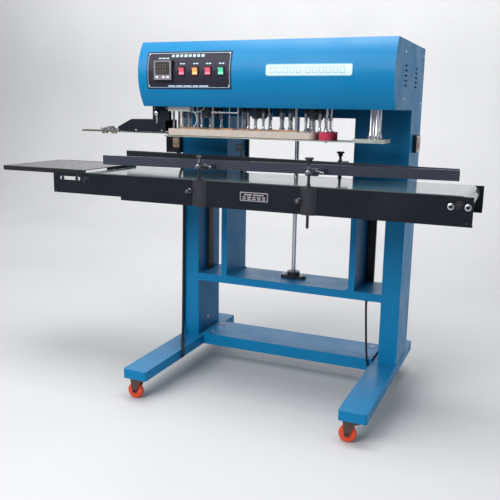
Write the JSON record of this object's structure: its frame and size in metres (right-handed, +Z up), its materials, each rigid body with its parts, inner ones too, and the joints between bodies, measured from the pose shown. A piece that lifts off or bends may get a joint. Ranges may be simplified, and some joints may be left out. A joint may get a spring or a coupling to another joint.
{
  "type": "continuous band sealer",
  "caption": "Floor-standing continuous band sealer: a heated sealing head on a wheeled twin-column stand, over a belt conveyor with guide rails that a screw raises and lowers.",
  "frame": {"origin": "centre of the machine's footprint on the floor", "axes": "+X to the operator's right, the way the bags travel; +Y away from the operator; +Z up"},
  "size_m": [1.89, 0.827, 1.38],
  "materials": {
    "blue_paint": "satin powder coat with a fine orange peel",
    "black_paint": "satin black powder coat",
    "steel": "ground and zinc plated",
    "chrome_steel": "polished plating",
    "panel_face": "satin printed aluminium",
    "black_plastic": "fine-grained moulding",
    "cast_grey": "grey enamel over castings",
    "copper_block": "machined, heat-tinted",
    "ptfe_band": "PTFE coated glass cloth",
    "cable_sheath": "matt PVC sheath",
    "belt_pvc": "glossy PVC belt",
    "table_sheet": "satin sheet",
    "rail_black": "satin black",
    "red_silicone": "matt silicone",
    "orange_tyre": "polyurethane",
    "key_rubber": "silicone key tops",
    "red_lens": "translucent moulding",
    "amber_lens": "translucent moulding",
    "green_lens": "translucent moulding"
  },
  "bodies": {
    "frame": {"foot_beams": "blue_paint", "cross_members": "blue_paint", "outer_posts": "blue_paint", "inner_uprights": "blue_paint", "column_covers": "blue_paint", "lift_guides": "steel", "head_chassis": "blue_paint", "head_cover": "blue_paint", "head_rear_cover": "blue_paint", "front_plates": "panel_face", "panel_bezels": "black_plastic", "head_machinery": "cast_grey", "seal_rails": "steel", "hangers_front": "chrome_steel", "hangers_rear": "chrome_steel", "seal_blocks": "copper_block", "infeed_guard": "black_paint", "sealing_bands": "ptfe_band", "cables": "cable_sheath", "cable_boxes": "black_plastic", "frame_bolts": "steel"},
    "conveyor": {"conveyor_panels": "black_paint", "conveyor_bed": "steel", "conveyor_belt": "belt_pvc", "infeed_table": "table_sheet", "rail_brackets": "black_paint", "lift_brackets": "black_paint", "conveyor_gearmotor": "cast_grey"},
    "lift_screw": {"lift_screw": "steel"},
    "drive_roller": {"drive_roller": "steel"},
    "tail_roller": {"tail_roller": "steel"},
    "front_rail": {"front_rail": "rail_black"},
    "rear_rail": {"rear_rail": "rail_black"},
    "front_left_knob": {"front_left_knob": "black_plastic"},
    "front_right_knob": {"front_right_knob": "black_plastic"},
    "front_rod_knob": {"front_rod_knob": "black_plastic"},
    "rear_rod_knob": {"rear_rod_knob": "black_plastic"},
    "rocker_1": {"rocker_1": "red_lens"},
    "rocker_2": {"rocker_2": "amber_lens"},
    "rocker_3": {"rocker_3": "red_lens"},
    "rocker_4": {"rocker_4": "green_lens"},
    "set_key": {"set_key": "key_rubber"},
    "down_key": {"down_key": "key_rubber"},
    "up_key": {"up_key": "key_rubber"},
    "band_wheel_front_left": {"band_wheel_front_left": "chrome_steel"},
    "band_wheel_front_right": {"band_wheel_front_right": "chrome_steel"},
    "band_wheel_rear_left": {"band_wheel_rear_left": "chrome_steel"},
    "band_wheel_rear_right": {"band_wheel_rear_right": "chrome_steel"},
    "press_wheel_front": {"press_wheel_front": "red_silicone"},
    "press_wheel_rear": {"press_wheel_rear": "red_silicone"},
    "infeed_roller_front": {"infeed_roller_front": "steel"},
    "infeed_roller_rear": {"infeed_roller_rear": "steel"},
    "caster_fork_front_left": {"caster_fork_front_left": "chrome_steel"},
    "caster_fork_front_right": {"caster_fork_front_right": "chrome_steel"},
    "caster_fork_rear_left": {"caster_fork_rear_left": "chrome_steel"},
    "caster_fork_rear_right": {"caster_fork_rear_right": "chrome_steel"},
    "caster_wheel_front_left": {"caster_wheel_front_left": "orange_tyre"},
    "caster_wheel_front_right": {"caster_wheel_front_right": "orange_tyre"},
    "caster_wheel_rear_left": {"caster_wheel_rear_left": "orange_tyre"},
    "caster_wheel_rear_right": {"caster_wheel_rear_right": "orange_tyre"}
  },
  "joints": [
    {"name": "conveyor_lift", "type": "slide", "parent": "frame", "child": "conveyor", "axis": [0, 0, 1], "range_m": [-0.3, 0.004]},
    {"name": "lift_screw_turn", "type": "hinge", "parent": "frame", "child": "lift_screw", "pos_m": [0.18, 0.1815, 0.6], "axis": [0, 0, 1], "continuous": true},
    {"name": "drive_roller_spin", "type": "hinge", "parent": "conveyor", "child": "drive_roller", "pos_m": [0.903, -0.1295, 0.851], "axis": [0, 1, 0], "continuous": true},
    {"name": "tail_roller_spin", "type": "hinge", "parent": "conveyor", "child": "tail_roller", "pos_m": [-0.527, -0.1295, 0.851], "axis": [0, 1, 0], "continuous": true},
    {"name": "front_rail_slide", "type": "slide", "parent": "conveyor", "child": "front_rail", "axis": [0, 1, 0], "range_m": [-0.06, 0.02]},
    {"name": "rear_rail_slide", "type": "slide", "parent": "conveyor", "child": "rear_rail", "axis": [0, 1, 0], "range_m": [-0.02, 0.03]},
    {"name": "front_left_knob_turn", "type": "hinge", "parent": "conveyor", "child": "front_left_knob", "pos_m": [-0.063, -0.3155, 0.839], "axis": [0, -1, 0], "range_deg": [0, 360]},
    {"name": "front_right_knob_turn", "type": "hinge", "parent": "conveyor", "child": "front_right_knob", "pos_m": [0.366, -0.3155, 0.832], "axis": [0, -1, 0], "range_deg": [0, 360]},
    {"name": "front_rod_knob_turn", "type": "hinge", "parent": "conveyor", "child": "front_rod_knob", "pos_m": [0.402, -0.3225, 0.97], "axis": [0, 0, 1], "range_deg": [0, 360]},
    {"name": "rear_rod_knob_turn", "type": "hinge", "parent": "conveyor", "child": "rear_rod_knob", "pos_m": [0.402, 0.0635, 0.97], "axis": [0, 0, 1], "range_deg": [0, 360]},
    {"name": "rocker_1_tip", "type": "hinge", "parent": "frame", "child": "rocker_1", "pos_m": [-0.115, -0.271, 1.272], "axis": [1, 0, 0], "range_deg": [-14, 0]},
    {"name": "rocker_2_tip", "type": "hinge", "parent": "frame", "child": "rocker_2", "pos_m": [-0.06, -0.271, 1.272], "axis": [1, 0, 0], "range_deg": [-14, 0]},
    {"name": "rocker_3_tip", "type": "hinge", "parent": "frame", "child": "rocker_3", "pos_m": [-0.008, -0.271, 1.272], "axis": [1, 0, 0], "range_deg": [-14, 0]},
    {"name": "rocker_4_tip", "type": "hinge", "parent": "frame", "child": "rocker_4", "pos_m": [0.044, -0.271, 1.272], "axis": [1, 0, 0], "range_deg": [-14, 0]},
    {"name": "set_key_press", "type": "slide", "parent": "frame", "child": "set_key", "axis": [0, 1, 0], "range_m": [0, 0.0008], "stiffness_N_per_m": 400},
    {"name": "down_key_press", "type": "slide", "parent": "frame", "child": "down_key", "axis": [0, 1, 0], "range_m": [0, 0.0008], "stiffness_N_per_m": 400},
    {"name": "up_key_press", "type": "slide", "parent": "frame", "child": "up_key", "axis": [0, 1, 0], "range_m": [0, 0.0008], "stiffness_N_per_m": 400},
    {"name": "band_wheel_front_left_spin", "type": "hinge", "parent": "frame", "child": "band_wheel_front_left", "pos_m": [-0.22, -0.1505, 1.048], "axis": [0, 0, 1], "continuous": true},
    {"name": "band_wheel_front_right_spin", "type": "hinge", "parent": "frame", "child": "band_wheel_front_right", "pos_m": [0.345, -0.1505, 1.048], "axis": [0, 0, 1], "continuous": true},
    {"name": "press_wheel_front_spin", "type": "hinge", "parent": "frame", "child": "press_wheel_front", "pos_m": [0.407, -0.155, 1.048], "axis": [0, 0, 1], "continuous": true},
    {"name": "infeed_roller_front_spin", "type": "hinge", "parent": "frame", "child": "infeed_roller_front", "pos_m": [-0.532, -0.1395, 1.055], "axis": [0, 0, 1], "continuous": true},
    {"name": "band_wheel_rear_left_spin", "type": "hinge", "parent": "frame", "child": "band_wheel_rear_left", "pos_m": [-0.22, -0.1065, 1.048], "axis": [0, 0, 1], "continuous": true},
    {"name": "band_wheel_rear_right_spin", "type": "hinge", "parent": "frame", "child": "band_wheel_rear_right", "pos_m": [0.345, -0.1065, 1.048], "axis": [0, 0, 1], "continuous": true},
    {"name": "press_wheel_rear_spin", "type": "hinge", "parent": "frame", "child": "press_wheel_rear", "pos_m": [0.407, -0.102, 1.048], "axis": [0, 0, 1], "continuous": true},
    {"name": "infeed_roller_rear_spin", "type": "hinge", "parent": "frame", "child": "infeed_roller_rear", "pos_m": [-0.532, -0.1175, 1.055], "axis": [0, 0, 1], "continuous": true},
    {"name": "caster_swivel_front_left", "type": "hinge", "parent": "frame", "child": "caster_fork_front_left", "pos_m": [-0.255, -0.3685, 0.09], "axis": [0, 0, 1], "continuous": true},
    {"name": "caster_roll_front_left", "type": "hinge", "parent": "caster_fork_front_left", "child": "caster_wheel_front_left", "pos_m": [-0.279, -0.3685, 0.032], "axis": [0, 1, 0], "continuous": true},
    {"name": "caster_swivel_front_right", "type": "hinge", "parent": "frame", "child": "caster_fork_front_right", "pos_m": [0.615, -0.3685, 0.09], "axis": [0, 0, 1], "continuous": true},
    {"name": "caster_roll_front_right", "type": "hinge", "parent": "caster_fork_front_right", "child": "caster_wheel_front_right", "pos_m": [0.591, -0.3685, 0.032], "axis": [0, 1, 0], "continuous": true},
    {"name": "caster_swivel_rear_left", "type": "hinge", "parent": "frame", "child": "caster_fork_rear_left", "pos_m": [-0.255, 0.3685, 0.09], "axis": [0, 0, 1], "continuous": true},
    {"name": "caster_roll_rear_left", "type": "hinge", "parent": "caster_fork_rear_left", "child": "caster_wheel_rear_left", "pos_m": [-0.279, 0.3685, 0.032], "axis": [0, 1, 0], "continuous": true},
    {"name": "caster_swivel_rear_right", "type": "hinge", "parent": "frame", "child": "caster_fork_rear_right", "pos_m": [0.615, 0.3685, 0.09], "axis": [0, 0, 1], "continuous": true},
    {"name": "caster_roll_rear_right", "type": "hinge", "parent": "caster_fork_rear_right", "child": "caster_wheel_rear_right", "pos_m": [0.591, 0.3685, 0.032], "axis": [0, 1, 0], "continuous": true}
  ],
  "couplings": [
    {"joint": "lift_screw_turn", "follows": "conveyor_lift", "rad_per_m": 1256.6},
    {"joint": "tail_roller_spin", "follows": "drive_roller_spin", "ratio": 1},
    {"joint": "band_wheel_front_left_spin", "follows": "band_wheel_front_right_spin", "ratio": 1},
    {"joint": "band_wheel_rear_left_spin", "follows": "band_wheel_front_right_spin", "ratio": -1},
    {"joint": "band_wheel_rear_right_spin", "follows": "band_wheel_front_right_spin", "ratio": -1},
    {"joint": "press_wheel_front_spin", "follows": "band_wheel_front_right_spin", "ratio": 0.8269},
    {"joint": "press_wheel_rear_spin", "follows": "band_wheel_front_right_spin", "ratio": -0.8269}
  ]
}
